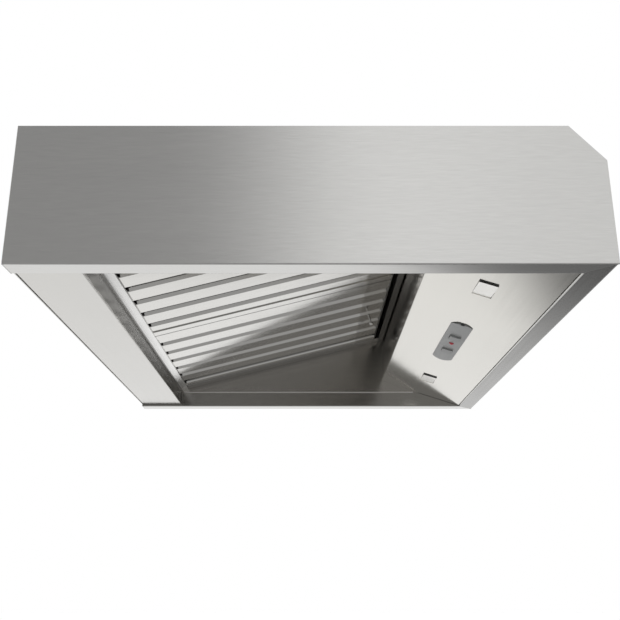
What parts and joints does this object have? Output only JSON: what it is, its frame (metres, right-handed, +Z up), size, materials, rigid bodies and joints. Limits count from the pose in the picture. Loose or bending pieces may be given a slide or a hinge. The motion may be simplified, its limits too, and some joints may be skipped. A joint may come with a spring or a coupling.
{
  "type": "wall mount range hood",
  "caption": "Low brushed-steel canopy range hood with a sloped front edge, swing-down baffle filters, recessed lamps, a rounded key pod, centrifugal blowers and a round duct collar.",
  "frame": {"origin": "centre of the four wall bolt holes, on the back face of the back panel", "axes": "+Y into the wall, the front faces -Y, +X to the right of someone facing the front, +Z up"},
  "size_m": [0.757, 0.61, 0.2002],
  "materials": {
    "canopy_steel": "horizontal brushed grain",
    "inner_steel": "brushed",
    "lamp_panel_steel": "brushed along its length",
    "filter_steel": "brushed along the slats",
    "slat_steel_dark": "brushed, in the shade of the lower slats",
    "knob_steel": "turned",
    "zinc_steel": "zinc coated, dull",
    "flap_aluminium": "mill finish",
    "wheel_aluminium": "mill finish",
    "shaft_steel": "ground",
    "magnet": "dull black",
    "motor_black": "satin black",
    "lens": "frosted",
    "board_white": "white solder mask",
    "board_green": "green solder mask",
    "pod_grey": "satin grey",
    "key_grey": "satin grey",
    "indicator_red": "clear red",
    "box_black": "moulded black",
    "terminal_cream": "moulded cream",
    "bushing_black": "moulded",
    "capacitor_white": "moulded",
    "conduit_grey": "extruded"
  },
  "bodies": {
    "hood": {"side_panel_left": "canopy_steel", "side_panel_right": "canopy_steel", "front_panel": "canopy_steel", "top_panel": "canopy_steel", "back_panel": "canopy_steel", "rear_ledge": "inner_steel", "liner_left": "inner_steel", "liner_right": "inner_steel", "side_filler_left": "inner_steel", "side_filler_right": "inner_steel", "front_rail": "inner_steel", "lamp_panel": "lamp_panel_steel", "blower_housing_left": "zinc_steel", "blower_housing_right": "zinc_steel", "inlet_guard_left": "zinc_steel", "inlet_guard_right": "zinc_steel", "discharge_box": "zinc_steel", "duct_collar": "zinc_steel", "junction_box": "zinc_steel", "junction_cover": "zinc_steel", "lamp_housing_left": "zinc_steel", "lamp_housing_right": "zinc_steel", "top_screws": "zinc_steel", "collar_screws": "zinc_steel", "damper_rod": "shaft_steel", "catch_magnets": "magnet", "blower_motor_left": "motor_black", "blower_motor_right": "motor_black", "lamp_lens_left": "lens", "lamp_lens_right": "lens", "lamp_board_left": "board_white", "lamp_board_right": "board_white", "control_board": "board_green", "control_pod": "pod_grey", "indicator_lens": "indicator_red", "control_box": "box_black", "terminal_block": "terminal_cream", "lamp_driver": "terminal_cream", "cable_bushing": "bushing_black", "run_capacitor": "capacitor_white", "wiring_conduit": "conduit_grey"},
    "filter_left": {"filter_frame_left": "filter_steel", "lower_slats_left": "filter_steel", "upper_slats_left": "slat_steel_dark", "filter_knob_left": "knob_steel"},
    "filter_right": {"filter_frame_right": "filter_steel", "lower_slats_right": "filter_steel", "upper_slats_right": "slat_steel_dark", "filter_knob_right": "knob_steel"},
    "fan_key": {"fan_key": "key_grey"},
    "light_key": {"light_key": "key_grey"},
    "wheel_left": {"blower_wheel_left": "wheel_aluminium", "motor_shaft_left": "shaft_steel", "wheel_nut_left": "zinc_steel"},
    "wheel_right": {"blower_wheel_right": "wheel_aluminium", "motor_shaft_right": "shaft_steel", "wheel_nut_right": "zinc_steel"},
    "flap_front": {"damper_flap_front": "flap_aluminium"},
    "flap_rear": {"damper_flap_rear": "flap_aluminium"}
  },
  "joints": [
    {"name": "filter_left_swing", "type": "hinge", "parent": "hood", "child": "filter_left", "pos_m": [0, -0.084, -0.03414], "axis": [1, 0, 0], "range_deg": [0, 62]},
    {"name": "filter_right_swing", "type": "hinge", "parent": "hood", "child": "filter_right", "pos_m": [0, -0.084, -0.03414], "axis": [1, 0, 0], "range_deg": [0, 62]},
    {"name": "fan_key_press", "type": "slide", "parent": "hood", "child": "fan_key", "axis": [0, -0.3082, 0.9513], "range_m": [0, 0.001], "stiffness_N_per_m": 500},
    {"name": "light_key_press", "type": "slide", "parent": "hood", "child": "light_key", "axis": [0, -0.3082, 0.9513], "range_m": [0, 0.001], "stiffness_N_per_m": 500},
    {"name": "wheel_left_spin", "type": "hinge", "parent": "hood", "child": "wheel_left", "pos_m": [-0.185, -0.112, 0.06], "axis": [0, 0, 1], "continuous": true},
    {"name": "wheel_right_spin", "type": "hinge", "parent": "hood", "child": "wheel_right", "pos_m": [0.185, -0.112, 0.06], "axis": [0, 0, 1], "continuous": true},
    {"name": "flap_front_open", "type": "hinge", "parent": "hood", "child": "flap_front", "pos_m": [0, -0.112, 0.0967], "axis": [-1, 0, 0], "range_deg": [0, 75]},
    {"name": "flap_rear_open", "type": "hinge", "parent": "hood", "child": "flap_rear", "pos_m": [0, -0.112, 0.0967], "axis": [1, 0, 0], "range_deg": [0, 75]}
  ]
}
